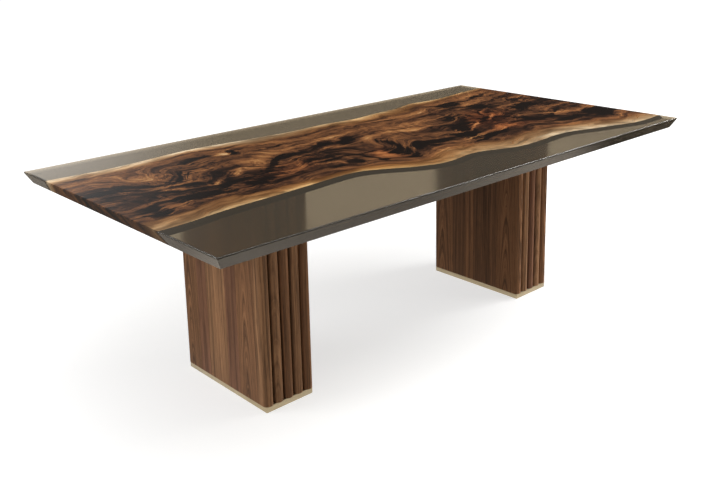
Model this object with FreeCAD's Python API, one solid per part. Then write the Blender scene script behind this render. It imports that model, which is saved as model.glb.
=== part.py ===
# Dining table: a live-edge walnut slab cast between two strips of clear resin, on two walnut
# pedestals with reeded narrow sides that stand on brass plinths. Lengths are in millimetres.
# The origin is on the floor under the middle of the top, +X runs along the length, the front is -Y.
import FreeCAD, Part
import math
import os

Vector = FreeCAD.Vector
os.makedirs("parts", exist_ok=True)

# Whole table
table_height = 750.0
leg_overhang = 386.0            # from an end of the top to the pedestal below it
cut_overrun = 20.0              # how far a cutting solid passes the face that it opens
fit_clearance = 0.1             # between a fastener and its hole

# Top
top_length = 2300.0
top_width = 1200.0
top_thickness = 42.0
edge_lip = 5.0                  # upright band below the top's arris
bevel_inset = 21.0              # how far the bevel under the lip runs in
live_edge_flare = 26.0          # how much wider the slab is at its underside, on each side

# Live edges, left to right: share of the half length, share of the half width
front_edge_shares = (
    (-1.05, -0.500), (-0.90, -0.500), (-0.80, -0.474), (-0.60, -0.450), (-0.40, -0.418),
    (-0.30, -0.425), (-0.21, -0.510), (-0.13, -0.597), (-0.03, -0.643), (0.09, -0.615),
    (0.17, -0.650), (0.25, -0.706), (0.40, -0.710), (0.55, -0.708), (0.65, -0.770),
    (0.75, -0.825), (0.84, -0.870), (0.95, -0.870), (1.05, -0.870),
)
rear_edge_shares = (
    (-1.05, 0.715), (-0.92, 0.694), (-0.80, 0.684), (-0.65, 0.710), (-0.50, 0.737),
    (-0.38, 0.715), (-0.25, 0.688), (-0.10, 0.664), (0.05, 0.673), (0.20, 0.648),
    (0.32, 0.676), (0.42, 0.682), (0.53, 0.735), (0.63, 0.718), (0.80, 0.745), (1.05, 0.775),
)

# Pedestals
leg_width = 476.0               # across the table
leg_depth = 206.0               # along the table
leg_gap = 0.5                   # between a pedestal and the underside of the top
reed_count = 5                  # bullnoses on a narrow side, the two panels' edges included
reed_gap = 3.0
reed_depth = 30.0               # from a reed's nose to its glued back
end_board_thickness = 18.0
top_board_thickness = 30.0
bottom_board_thickness = 30.0
left_stave_joint_shares = (-0.82, -0.40, -0.125, 0.35, 0.60)     # glue lines, of a panel's half width
right_stave_joint_shares = (-0.51, -0.25, 0.03, 0.23, 0.525)

# Brass plinths
plinth_height = 22.0
plinth_inset = 5.5
plinth_bar_width = 40.0

# Mounting plates
plate_thickness = 6.0
plate_flange = 55.0             # how far a plate passes each broad side of its pedestal
plate_end_gap = 10.0            # from a plate's end to the inner face of the end board
plate_pocket_clearance = 1.0
plate_bolt_end = 40.0           # from a plate's end to its outer bolts
plate_screw_end = 40.0          # from the top board's end to its outer screws
plate_screw_edge = 19.0         # from the top board's long edge to its screws

# Steel channels in the underside of the slab
channel_length = 520.0
channel_width = 50.0
channel_depth = 12.0
channel_wall = 3.0
channel_clearance = 0.5
channel_offset = 60.0           # the slab is wider behind the middle line
channel_bolt_end = 80.0         # from a channel's end to its outer bolts

# Machine bolts and their inserts
plate_bolt_radius = 4.0
plate_bolt_head_radius = 7.0
plate_bolt_head_height = 4.4
plate_socket_width = 5.0
plate_insert_wall = 2.5
plate_insert_length = 16.0
channel_bolt_radius = 3.0
channel_bolt_head_radius = 5.25
channel_bolt_head_height = 3.3
channel_socket_width = 4.0
channel_insert_wall = 2.0
channel_insert_length = 14.0

# Countersunk wood screws
screw_radius = 3.0
screw_head_radius = 5.6
screw_head_height = 2.6
screw_tip_length = 5.0
plate_screw_length = 30.0
plinth_screw_length = 45.0
plinth_screw_end = 80.0         # from a plinth's end to its outer screws

# Levelling feet
foot_radius = 16.0
foot_height = 6.5
foot_edge = 1.5                 # chamfer on the rim of the pad
foot_lift = 0.5                 # the pads hang just clear of the floor when they are wound in
foot_nut_width = 15.0
foot_nut_height = 4.5
foot_stud_radius = 5.0
foot_stud_end_gap = 2.5         # between a stud's end and the end of its insert
foot_bar_gap = 4.0              # between a pad and the plinth bars beside it
foot_insert_wall = 3.0
foot_insert_length = 24.0

# Sizes that follow
half_length = top_length / 2
half_width = top_width / 2
underside = table_height - top_thickness
leg_top = underside - leg_gap
leg_bottom = plinth_height
leg_x = half_length - leg_overhang - leg_depth / 2
reed_width = (leg_depth - reed_gap * (reed_count - 1)) / reed_count
reed_pitch = reed_width + reed_gap
core_half_depth = leg_depth / 2 - reed_width
core_half_width = leg_width / 2 - reed_depth - end_board_thickness
plinth_half_depth = leg_depth / 2 - plinth_inset
plinth_half_width = leg_width / 2 - plinth_inset
plinth_inner_half_depth = plinth_half_depth - plinth_bar_width
plinth_inner_half_width = plinth_half_width - plinth_bar_width
plinth_screw_x = plinth_half_depth - plinth_bar_width / 2
plinth_screw_y = plinth_half_width - plinth_screw_end
plate_half_depth = leg_depth / 2 + plate_flange
plate_half_width = core_half_width - plate_end_gap
plate_top = leg_top + plate_thickness
plate_bolt_x = leg_depth / 2 + plate_flange / 2
plate_bolt_y = plate_half_width - plate_bolt_end
plate_bolt_length = plate_thickness + plate_insert_length
plate_screw_x = core_half_depth - plate_screw_edge
plate_screw_y = core_half_width - plate_screw_end
channel_web_top = underside + channel_wall
channel_x = (leg_x + plate_half_depth + half_length - bevel_inset) / 2
channel_bolt_y = channel_length / 2 - channel_bolt_end
channel_bolt_length = channel_wall + channel_insert_length
foot_x = plinth_inner_half_depth - foot_bar_gap - foot_radius
foot_y = plinth_inner_half_width - foot_bar_gap - foot_radius
rows_of_three = (-1, 0, 1)
both_sides = (-1, 1)


def block(x_low, x_high, y_low, y_high, z_low, z_high):
    return Part.makeBox(x_high - x_low, y_high - y_low, z_high - z_low, Vector(x_low, y_low, z_low))


def rod(radius, x, y, z_low, z_high):
    return Part.makeCylinder(radius, z_high - z_low, Vector(x, y, z_low))


def tube(radius, bore_radius, x, y, z_low, z_high):
    return rod(radius, x, y, z_low, z_high).cut(rod(bore_radius, x, y, z_low, z_high))


def hexagon(width, x, y, z_low, z_high):
    corner_radius = width / math.sqrt(3)
    corners = []
    for step in range(6):
        angle = math.radians(60 * step)
        across = corner_radius * math.cos(angle)
        along = corner_radius * math.sin(angle)
        corners.append(Vector(x + across, y + along, z_low))
    outline = Part.makePolygon(corners + corners[:1])
    return Part.Face(outline).extrude(Vector(0, 0, z_high - z_low))


def save(name, solids):
    shape = solids[0] if len(solids) == 1 else Part.makeCompound(solids)
    shape.exportStep("parts/" + name + ".step")


# Button-head bolt with a hexagon socket, pushed up through a face at height z
def button_bolt(x, y, z, radius, length, head_radius, head_height, socket_width):
    head = rod(head_radius, x, y, z - head_height, z)
    rim = [edge for edge in head.Edges if edge.BoundBox.ZMax < z - head_height / 2 and edge.Closed]
    head = head.makeFillet(head_height / 2, rim)
    head = head.cut(hexagon(socket_width, x, y, z - head_height, z - head_height / 3))
    return head.fuse(rod(radius, x, y, z, z + length)).removeSplitter()


# Countersunk screw whose flat head lies at height z; way is 1 for a screw driven upwards, -1 downwards
def countersunk_screw(x, y, z, way, length):
    axis = Vector(0, 0, way)
    head = Part.makeCone(screw_head_radius, screw_radius, screw_head_height, Vector(x, y, z), axis)
    shank_start = Vector(x, y, z + way * screw_head_height)
    shank_length = length - screw_head_height - screw_tip_length
    shank = Part.makeCylinder(screw_radius, shank_length, shank_start, axis)
    tip_start = Vector(x, y, z + way * (length - screw_tip_length))
    tip = Part.makeCone(screw_radius, 0, screw_tip_length, tip_start, axis)
    return head.fuse([shank, tip]).removeSplitter()


# The hole for that screw, with a clearance all round
def countersunk_hole(x, y, z, way, length):
    axis = Vector(0, 0, way)
    head_radius = screw_head_radius + fit_clearance
    hole_radius = screw_radius + fit_clearance
    sink = Part.makeCone(head_radius, hole_radius, screw_head_height, Vector(x, y, z), axis)
    hole = Part.makeCylinder(hole_radius, length + fit_clearance, Vector(x, y, z), axis)
    return sink.fuse(hole)


# Top: one block with a lip and a bevel all round, parted along the slab's two live edges
def rectangle(half_x, half_y, z):
    corners = [Vector(-half_x, -half_y, z), Vector(half_x, -half_y, z),
               Vector(half_x, half_y, z), Vector(-half_x, half_y, z)]
    return Part.makePolygon(corners + corners[:1])


def bevelled_block():
    lip_bottom = table_height - edge_lip
    lip = block(-half_length, half_length, -half_width, half_width, lip_bottom, table_height)
    foot_outline = rectangle(half_length - bevel_inset, half_width - bevel_inset, underside)
    bevel = Part.makeLoft([foot_outline, rectangle(half_length, half_width, lip_bottom)], True, True)
    return lip.fuse(bevel).removeSplitter()


def live_edge(shares, flare, z):
    points = [Vector(x * half_length, y * half_width + flare, z) for x, y in shares]
    curve = Part.BSplineCurve()
    curve.interpolate(points)
    return curve.toShape()


def slab_blank():
    outlines = []
    for z in (underside - cut_overrun, table_height + cut_overrun):
        flare = live_edge_flare * (table_height - z) / top_thickness
        front = live_edge(front_edge_shares, -flare, z)
        rear = live_edge(rear_edge_shares, flare, z)
        right_end = Part.makeLine(front.valueAt(front.LastParameter), rear.valueAt(rear.LastParameter))
        left_end = Part.makeLine(rear.valueAt(rear.FirstParameter), front.valueAt(front.FirstParameter))
        outlines.append(Part.Wire([front, right_end, rear, left_end]))
    return Part.makeLoft(outlines, True, True)


# Steel channel: its web lies flush with the underside, its two walls stand up into the slab
def channel_solid(x, clearance, bottom):
    half = channel_width / 2 + clearance
    inner_half = channel_width / 2 - channel_wall - clearance
    y_low = channel_offset - channel_length / 2 - clearance
    y_high = channel_offset + channel_length / 2 + clearance
    top = underside + channel_depth + clearance
    outside = block(x - half, x + half, y_low, y_high, bottom, top)
    return outside.cut(block(x - inner_half, x + inner_half, y_low, y_high, channel_web_top, top))


channel_places = (("left_end_channel", -channel_x), ("middle_channel", 0), ("right_end_channel", channel_x))
slab_cuts = []
channel_bolts = []
channel_inserts = []
for name, x in channel_places:
    channel = channel_solid(x, 0.0, underside)
    slab_cuts.append(channel_solid(x, channel_clearance, underside - cut_overrun))
    for step in rows_of_three:
        y = channel_offset + step * channel_bolt_y
        insert_radius = channel_bolt_radius + fit_clearance + channel_insert_wall
        insert_top = channel_web_top + channel_insert_length
        bolt_hole = channel_bolt_radius + fit_clearance
        channel = channel.cut(rod(bolt_hole, x, y, underside - cut_overrun, channel_web_top + cut_overrun))
        slab_cuts.append(rod(insert_radius, x, y, channel_web_top, insert_top))
        channel_inserts.append(tube(insert_radius, bolt_hole, x, y, channel_web_top, insert_top))
        channel_bolts.append(button_bolt(x, y, underside, channel_bolt_radius, channel_bolt_length,
                                         channel_bolt_head_radius, channel_bolt_head_height,
                                         channel_socket_width))
    save(name, [channel])
save("channel_bolts", channel_bolts)
save("channel_inserts", channel_inserts)


# Mounting plate: let into the underside, screwed down on its pedestal and bolted up to the slab
plate_bolts = []
plate_inserts = []
plate_screws = []


def mounting_plate(leg_middle):
    plate = block(leg_middle - plate_half_depth, leg_middle + plate_half_depth,
                  -plate_half_width, plate_half_width, leg_top, plate_top)
    pocket_half_depth = plate_half_depth + plate_pocket_clearance
    pocket_half_width = plate_half_width + plate_pocket_clearance
    slab_cuts.append(block(leg_middle - pocket_half_depth, leg_middle + pocket_half_depth,
                           -pocket_half_width, pocket_half_width, underside - cut_overrun, plate_top))
    bolt_hole = plate_bolt_radius + fit_clearance
    insert_radius = bolt_hole + plate_insert_wall
    insert_top = plate_top + plate_insert_length
    for side in both_sides:
        for step in rows_of_three:
            x = leg_middle + side * plate_bolt_x
            y = step * plate_bolt_y
            plate = plate.cut(rod(bolt_hole, x, y, leg_top - cut_overrun, plate_top + cut_overrun))
            slab_cuts.append(rod(insert_radius, x, y, plate_top, insert_top))
            plate_inserts.append(tube(insert_radius, bolt_hole, x, y, plate_top, insert_top))
            plate_bolts.append(button_bolt(x, y, leg_top, plate_bolt_radius, plate_bolt_length,
                                           plate_bolt_head_radius, plate_bolt_head_height,
                                           plate_socket_width))
            x = leg_middle + side * plate_screw_x
            y = step * plate_screw_y
            plate = plate.cut(countersunk_hole(x, y, plate_top, -1, plate_screw_length))
            plate_screws.append(countersunk_screw(x, y, plate_top, -1, plate_screw_length))
    return plate


# Pedestal: two broad panels with bullnosed upright edges, reeds between their edges, a box inside
def bullnosed_board(x, y_low, y_high, front_nose, rear_nose, z_low, z_high):
    half = reed_width / 2
    front = y_low + (half if front_nose else 0)
    rear = y_high - (half if rear_nose else 0)
    edges = [Part.makeLine(Vector(x + half, front, z_low), Vector(x + half, rear, z_low))]
    if rear_nose:
        edges.append(Part.Arc(Vector(x + half, rear, z_low), Vector(x, y_high, z_low),
                              Vector(x - half, rear, z_low)).toShape())
    else:
        edges.append(Part.makeLine(Vector(x + half, rear, z_low), Vector(x - half, rear, z_low)))
    edges.append(Part.makeLine(Vector(x - half, rear, z_low), Vector(x - half, front, z_low)))
    if front_nose:
        edges.append(Part.Arc(Vector(x - half, front, z_low), Vector(x, y_low, z_low),
                              Vector(x + half, front, z_low)).toShape())
    else:
        edges.append(Part.makeLine(Vector(x - half, front, z_low), Vector(x + half, front, z_low)))
    return Part.Face(Part.Wire(edges)).extrude(Vector(0, 0, z_high - z_low))


def staves(panel, x, joint_shares):
    joints = [share * leg_width / 2 for share in joint_shares]
    bounds = [-leg_width / 2 - cut_overrun] + joints + [leg_width / 2 + cut_overrun]
    x_low = x - reed_width / 2 - cut_overrun
    x_high = x + reed_width / 2 + cut_overrun
    pieces = []
    for y_low, y_high in zip(bounds[:-1], bounds[1:]):
        stave_space = block(x_low, x_high, y_low, y_high, leg_bottom - cut_overrun, leg_top + cut_overrun)
        pieces.append(panel.common(stave_space).Solids[0])
    return pieces


def broad_panel(x, holes, joint_shares):
    panel = bullnosed_board(x, -leg_width / 2, leg_width / 2, True, True, leg_bottom, leg_top)
    return staves(panel.cut(holes), x, joint_shares)


# Brass plinth: four bars with mitred corners, so their ends meet on the diagonals
def plinth_bars(leg_middle, holes):
    outer = [(-plinth_half_depth, -plinth_half_width), (plinth_half_depth, -plinth_half_width),
             (plinth_half_depth, plinth_half_width), (-plinth_half_depth, plinth_half_width)]
    inner = [(-plinth_inner_half_depth, -plinth_inner_half_width),
             (plinth_inner_half_depth, -plinth_inner_half_width),
             (plinth_inner_half_depth, plinth_inner_half_width),
             (-plinth_inner_half_depth, plinth_inner_half_width)]
    bars = []
    for start in range(4):
        end = (start + 1) % 4
        corners = [outer[start], outer[end], inner[end], inner[start]]
        outline = [Vector(leg_middle + x, y, 0) for x, y in corners]
        face = Part.Face(Part.makePolygon(outline + outline[:1]))
        bars.append(face.extrude(Vector(0, 0, plinth_height)).cut(holes))
    return bars


# Levelling foot: a pad, a hexagon to turn it by and a stud that turns in an insert of the bottom board
def levelling_foot(x, y):
    pad_top = foot_lift + foot_height
    nut_top = pad_top + foot_nut_height
    pad = rod(foot_radius, x, y, foot_lift, pad_top)
    pad = pad.makeChamfer(foot_edge, [edge for edge in pad.Edges if edge.Closed])
    nut = hexagon(foot_nut_width, x, y, pad_top, nut_top)
    stud = rod(foot_stud_radius, x, y, nut_top, leg_bottom + foot_insert_length - foot_stud_end_gap)
    return pad.fuse([nut, stud]).removeSplitter()


plinth_screws = []
foot_inserts = []


def pedestal(side_name, way, joint_shares):
    leg_middle = way * leg_x
    panel_x = leg_depth / 2 - reed_width / 2

    holes = []
    for x_side in both_sides:
        for step in rows_of_three:
            x = leg_middle + x_side * plinth_screw_x
            y = step * plinth_screw_y
            holes.append(countersunk_hole(x, y, 0, 1, plinth_screw_length))
            plinth_screws.append(countersunk_screw(x, y, 0, 1, plinth_screw_length))
    save(side_name + "_outer_panel", broad_panel(leg_middle + way * panel_x, holes, joint_shares))
    save(side_name + "_inner_panel", broad_panel(leg_middle - way * panel_x, holes, joint_shares))
    save(side_name + "_plinth_frame", plinth_bars(leg_middle, holes))

    reed_back = leg_width / 2 - reed_depth
    for number in range(1, reed_count - 1):
        x = leg_middle + way * (panel_x - number * reed_pitch)
        front_reed = bullnosed_board(x, -leg_width / 2, -reed_back, True, False, leg_bottom, leg_top)
        rear_reed = bullnosed_board(x, reed_back, leg_width / 2, False, True, leg_bottom, leg_top)
        save("%s_front_reed_%d" % (side_name, number), [front_reed])
        save("%s_rear_reed_%d" % (side_name, number), [rear_reed])

    core_low = leg_middle - core_half_depth
    core_high = leg_middle + core_half_depth
    save(side_name + "_front_end_board",
         [block(core_low, core_high, -reed_back, -core_half_width, leg_bottom, leg_top)])
    save(side_name + "_rear_end_board",
         [block(core_low, core_high, core_half_width, reed_back, leg_bottom, leg_top)])

    save(side_name + "_mounting_plate", [mounting_plate(leg_middle)])
    top_board = block(core_low, core_high, -core_half_width, core_half_width,
                      leg_top - top_board_thickness, leg_top)
    for x_side in both_sides:
        for step in rows_of_three:
            x = leg_middle + x_side * plate_screw_x
            y = step * plate_screw_y
            top_board = top_board.cut(countersunk_hole(x, y, plate_top, -1, plate_screw_length))
    save(side_name + "_top_board", [top_board])

    bottom_board = block(core_low, core_high, -core_half_width, core_half_width,
                         leg_bottom, leg_bottom + bottom_board_thickness)
    stud_bore = foot_stud_radius + fit_clearance
    insert_radius = stud_bore + foot_insert_wall
    insert_top = leg_bottom + foot_insert_length
    for y_side, y_name in ((-1, "front"), (1, "rear")):
        for x_side, x_name in ((way, "outer"), (-way, "inner")):
            x = leg_middle + x_side * foot_x
            y = y_side * foot_y
            bottom_board = bottom_board.cut(rod(insert_radius, x, y, leg_bottom - cut_overrun, insert_top))
            foot_inserts.append(tube(insert_radius, stud_bore, x, y, leg_bottom, insert_top))
            save("%s_%s_%s_foot" % (side_name, y_name, x_name), [levelling_foot(x, y)])
    save(side_name + "_bottom_board", [bottom_board])


pedestal("left", -1, left_stave_joint_shares)
pedestal("right", 1, right_stave_joint_shares)
save("plate_bolts", plate_bolts)
save("plate_inserts", plate_inserts)
save("plate_screws", plate_screws)
save("plinth_screws", plinth_screws)
save("foot_inserts", foot_inserts)

# The slab takes the pockets of all that is let into it; the resin is what is left of the block
whole_top = bevelled_block()
blank = slab_blank()
slab = whole_top.common(blank).cut(slab_cuts)
strips = sorted(whole_top.cut(blank).Solids, key=lambda strip: strip.CenterOfMass.y)
save("walnut_slab", slab.Solids)
save("front_resin", [strips[0]])
save("rear_resin", [strips[1]])
print("solids: slab %d, resin %d" % (len(slab.Solids), len(strips)))
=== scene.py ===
import math

import bpy
import numpy as np
from mathutils import Matrix, Vector


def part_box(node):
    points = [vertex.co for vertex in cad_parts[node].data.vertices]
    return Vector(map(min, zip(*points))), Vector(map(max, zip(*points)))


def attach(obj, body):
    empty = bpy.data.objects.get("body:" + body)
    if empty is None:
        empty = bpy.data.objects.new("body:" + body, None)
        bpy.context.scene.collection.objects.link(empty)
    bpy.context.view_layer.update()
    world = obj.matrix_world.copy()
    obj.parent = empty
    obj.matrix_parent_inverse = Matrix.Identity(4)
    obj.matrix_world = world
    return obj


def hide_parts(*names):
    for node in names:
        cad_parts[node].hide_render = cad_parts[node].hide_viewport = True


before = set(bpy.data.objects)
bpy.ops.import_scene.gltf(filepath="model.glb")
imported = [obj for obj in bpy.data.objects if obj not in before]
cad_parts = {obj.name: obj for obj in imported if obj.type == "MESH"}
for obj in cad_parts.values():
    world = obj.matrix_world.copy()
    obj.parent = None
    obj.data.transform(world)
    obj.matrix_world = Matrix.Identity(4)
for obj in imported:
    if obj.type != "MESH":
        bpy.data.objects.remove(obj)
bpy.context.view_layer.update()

# Pedestal core boards
# Each pedestal is a box round four boards of birch plywood, glued together, that carry the reeds, the
# panels and the mounting plate. Only the end boards show, deep in the gaps between the reeds.
sides = ("left", "right")
ply_pair = 0.003


def linear(code):
    """A colour written as sRGB hex, as the linear values that the shaders work in."""
    shares = [int(code[place:place + 2], 16) / 255 for place in (1, 3, 5)]
    return tuple(s / 12.92 if s <= 0.04045 else ((s + 0.055) / 1.055) ** 2.4 for s in shares) + (1.0,)


def add_node(tree, kind, inputs=None, out=0, stops=None, **settings):
    """Adds a shader node with its settings, links and colour stops, and gives one of its outputs."""
    node = tree.nodes.new("ShaderNode" + kind)
    for name, value in settings.items():
        setattr(node, name, value)
    for place, (position, code) in enumerate(stops or []):
        stop = node.color_ramp.elements[place] if place < 2 else node.color_ramp.elements.new(position)
        stop.position = position
        stop.color = linear(code)
    for socket, value in (inputs or {}).items():
        if isinstance(value, bpy.types.NodeSocket):
            tree.links.new(value, node.inputs[socket])
        else:
            node.inputs[socket].default_value = value
    return node.outputs[out]


def open_material(name):
    """A new material with its shader, ready for its nodes."""
    material = bpy.data.materials.new(name)
    material.use_nodes = True
    return material, material.node_tree, material.node_tree.nodes["Principled BSDF"]


def link_finish(tree, shader, colour, rough, bump=None):
    """Links a material's colour, roughness and bump to its shader."""
    tree.links.new(colour, shader.inputs["Base Color"])
    tree.links.new(rough, shader.inputs["Roughness"])
    if bump is not None:
        tree.links.new(bump, shader.inputs["Normal"])


def refinish(nodes, material):
    """Gives pieces that keep the frame's own mesh their real finish."""
    for node in nodes:
        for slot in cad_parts[node].material_slots:
            slot.material = material


# Birch plywood, sanded: thin plies, light and dark in turn across the board's thickness, with a soft grain.
core_boards = {
    "Y": [side + "_" + end + "_end_board" for side in sides for end in ("front", "rear")],
    "Z": [side + "_" + level + "_board" for side in sides for level in ("top", "bottom")],
}
for thickness_axis, boards in core_boards.items():
    core_plywood, tree, shader = open_material("sanded_birch_plywood_" + thickness_axis.lower())
    place = add_node(tree, "TexCoord", out="Object")
    plies = add_node(tree, "TexWave",
                     {"Vector": place, "Scale": math.pi / 10 / ply_pair, "Distortion": 0.4, "Detail": 1.0},
                     out="Fac", bands_direction=thickness_axis)
    grain_at = add_node(tree, "Mapping", {"Vector": place, "Scale": (120, 120, 12)})
    grain = add_node(tree, "TexNoise", {"Vector": grain_at, "Scale": 1.0, "Detail": 4.0})
    tone = add_node(tree, "Mix", {0: 0.45, 2: grain, 3: plies}, data_type="FLOAT")
    colour = add_node(tree, "ValToRGB", {"Fac": tone}, stops=[(0.2, "#7d6345"), (0.8, "#b99b72")])
    rough = add_node(tree, "MapRange", {0: grain, 1: 0.3, 2: 0.7, 3: 0.8, 4: 0.6})
    bump = add_node(tree, "Bump", {"Strength": 0.15, "Distance": 0.0002, "Height": grain})
    link_finish(tree, shader, colour, rough, bump)
    refinish(boards, core_plywood)

# Pedestal reeds
# Half-round mouldings of solid walnut, planed to a bullnose and glued side by side to the pedestal's end
# boards. They are oiled to a satin finish like the panels, and painted shade darkens the wood in the
# grooves between them.
reed_low, reed_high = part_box("left_front_reed_1")
reed_radius = (reed_high.x - reed_low.x) / 2
board_tones = {"dark": "#6d4c33", "plum": "#78523b", "brown": "#825b3d", "tan": "#8f6848"}
arch_steepness = 330.0
reed_heart_offset = -0.008
bullnose_share = 0.9995
bullnose_steps = 12
weld_distance = 0.00003
groove_reach = 0.005
groove_lines = [corner.x for side in sides for number in (1, 2, 3)
                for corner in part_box("%s_front_reed_%d" % (side, number))]


def block_between(name, low, high):
    """A box from its lowest to its highest corner, alone in the selection, with its place in its mesh."""
    bpy.ops.object.select_all(action="DESELECT")
    middle = (Vector(low) + Vector(high)) / 2
    bpy.ops.mesh.primitive_cube_add(size=1, location=middle, scale=Vector(high) - Vector(low))
    bpy.ops.object.transform_apply(location=True, rotation=True, scale=True)
    piece = bpy.context.active_object
    piece.name = piece.data.name = name
    return piece


def pick(piece, part, test):
    """Opens the piece in edit mode and selects those of its edges or faces whose corners pass the test."""
    bpy.ops.object.mode_set(mode="EDIT")
    bpy.ops.mesh.select_mode(type=part)
    bpy.ops.mesh.select_all(action="DESELECT")
    bpy.ops.object.mode_set(mode="OBJECT")
    for item in piece.data.edges if part == "EDGE" else piece.data.polygons:
        item.select = test([piece.data.vertices[corner].co for corner in item.vertices])
    bpy.ops.object.mode_set(mode="EDIT")


def copy_of(piece, name, move):
    """A copy with its own mesh, moved in the mesh."""
    copy = piece.copy()
    copy.data = piece.data.copy()
    copy.data.transform(move)
    copy.name = copy.data.name = name
    bpy.context.scene.collection.objects.link(copy)
    return copy


def mark_board(piece, seed, tone, axis, heart, flat_sawn):
    """Writes a board's own figure, colour, distance from the log's heart, sawing and painted groove shade
    on its mesh.
    """
    corners = piece.data.vertices
    # Painted shade: how near each corner is to a groove between the reeds, for darkening the wood there
    from_groove = [min(abs(corner.co.x - line) for line in groove_lines) for corner in corners]
    marks = {"board": [seed] * len(corners), "across": [corner.co[axis] - heart for corner in corners],
             "flat_sawn": [flat_sawn] * len(corners),
             "groove_shade_mask": [max(0.0, 1 - away / groove_reach) for away in from_groove]}
    for name, values in marks.items():
        if name not in piece.data.attributes:
            piece.data.attributes.new(name, "FLOAT", "POINT")
        piece.data.attributes[name].data.foreach_set("value", values)
    if "tone" not in piece.data.attributes:
        piece.data.attributes.new("tone", "FLOAT_COLOR", "POINT")
    piece.data.attributes["tone"].data.foreach_set("color", list(linear(board_tones[tone])) * len(corners))


def round_edges(piece, test):
    """Planes the chosen upright edges to a bullnose."""
    pick(piece, "EDGE", test)
    bpy.ops.mesh.bevel(offset=reed_radius * bullnose_share, segments=bullnose_steps, affect="EDGES")
    bpy.ops.mesh.select_all(action="SELECT")
    bpy.ops.mesh.remove_doubles(threshold=weld_distance)
    bpy.ops.mesh.normals_make_consistent(inside=False)
    bpy.ops.object.mode_set(mode="OBJECT")
    bpy.ops.object.shade_smooth_by_angle(angle=math.radians(40))


# Oiled walnut, satin: brown boards with streaks along them, pointed arches where a board is flat-sawn, dark
# late wood and fine open pores. Each board has its own figure and colour, from the values on its mesh.
leg_walnut, tree, shader = open_material("oiled_walnut_boards")
place = add_node(tree, "TexCoord", out="Object")
seed = add_node(tree, "Attribute", out="Fac", attribute_name="board")
across = add_node(tree, "Attribute", out="Fac", attribute_name="across")
flat_sawn = add_node(tree, "Attribute", out="Fac", attribute_name="flat_sawn")
tone = add_node(tree, "Attribute", out="Color", attribute_name="tone")
shift = add_node(tree, "VectorMath", {0: (0.37, 0.73, 1.31), "Scale": seed}, operation="SCALE")
own = add_node(tree, "VectorMath", {0: place, 1: shift}, operation="ADD")

# Streaks about 11 mm and 4 mm apart, which sway over about 600 mm
sway_at = add_node(tree, "Mapping", {"Vector": own, "Scale": (9, 9, 1.6)})
sway = add_node(tree, "TexNoise", {"Vector": sway_at, "Scale": 1.0, "Detail": 2.0}, out="Color")
streak_at = add_node(tree, "Mapping", {"Vector": own, "Scale": (90, 90, 0.9)})
streak_bent = add_node(tree, "VectorMath", {0: sway, 1: (2.2, 2.2, 0.5), 2: streak_at},
                       operation="MULTIPLY_ADD")
streaks = add_node(tree, "TexNoise", {"Vector": streak_bent, "Scale": 1.0, "Detail": 4.0, "Roughness": 0.7})
fine_at = add_node(tree, "Mapping", {"Vector": own, "Scale": (260, 260, 4)})
fine = add_node(tree, "TexNoise", {"Vector": fine_at, "Scale": 1.0, "Detail": 3.0})

# Arches of a flat-sawn board, about 60 mm apart along its middle
square = add_node(tree, "Math", {0: across, 1: across}, operation="MULTIPLY")
height = add_node(tree, "SeparateXYZ", {0: own}, out="Z")
arch = add_node(tree, "Math", {0: square, 1: arch_steepness, 2: height}, operation="MULTIPLY_ADD")
arch_sway = add_node(tree, "TexNoise", {"Vector": own, "Scale": 6.0, "Detail": 2.0})
arch_bent = add_node(tree, "Math", {0: arch_sway, 1: 0.12, 2: arch}, operation="MULTIPLY_ADD")
arch_at = add_node(tree, "CombineXYZ", {"X": arch_bent, "Y": seed})
arches = add_node(tree, "TexNoise", {"Vector": arch_at, "Scale": 16.0, "Detail": 4.0, "Roughness": 0.65})
arch_lines = add_node(tree, "MapRange", {0: arches, 1: 0.34, 2: 0.66, 3: 0.22, 4: 0.78})
lines = add_node(tree, "Mix", {0: flat_sawn, 2: streaks, 3: arch_lines}, data_type="FLOAT")
figure = add_node(tree, "Mix", {0: 0.25, 2: lines, 3: fine}, data_type="FLOAT")
shade = add_node(tree, "MapRange", {0: figure, 1: 0.38, 2: 0.62, 3: 0.46, 4: 1.48})

# Painted shade in the grooves between the reeds, darkest at a groove and gone 5 mm from it
groove_shade_mask = add_node(tree, "Attribute", out="Fac", attribute_name="groove_shade_mask")
painted_groove_shade = add_node(tree, "MapRange", {0: groove_shade_mask, 1: 0.0, 2: 1.0, 3: 1.0, 4: 0.35})
shade = add_node(tree, "Math", {0: shade, 1: painted_groove_shade}, operation="MULTIPLY")
toned = add_node(tree, "VectorMath", {0: tone, "Scale": shade}, operation="SCALE")

# Pores about 1.4 mm wide, drawn several times as coarse as real ones so that they show
pore_at = add_node(tree, "Mapping", {"Vector": own, "Scale": (700, 700, 20)})
pores = add_node(tree, "TexNoise", {"Vector": pore_at, "Scale": 1.0, "Detail": 1.0})
pore_mask = add_node(tree, "MapRange", {0: pores, 1: 0.58, 2: 0.72, 3: 0.0, 4: 0.55})
colour = add_node(tree, "Mix", {0: pore_mask, 6: toned, 7: linear("#2b1c13")}, out=2, data_type="RGBA")
rough = add_node(tree, "MapRange", {0: figure, 1: 0.3, 2: 0.7, 3: 0.62, 4: 0.50})
bump = add_node(tree, "Bump", {"Strength": 0.25, "Distance": 0.0003, "Height": fine})
link_finish(tree, shader, colour, rough, bump)
shader.inputs["Specular IOR Level"].default_value = 0.18

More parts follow.
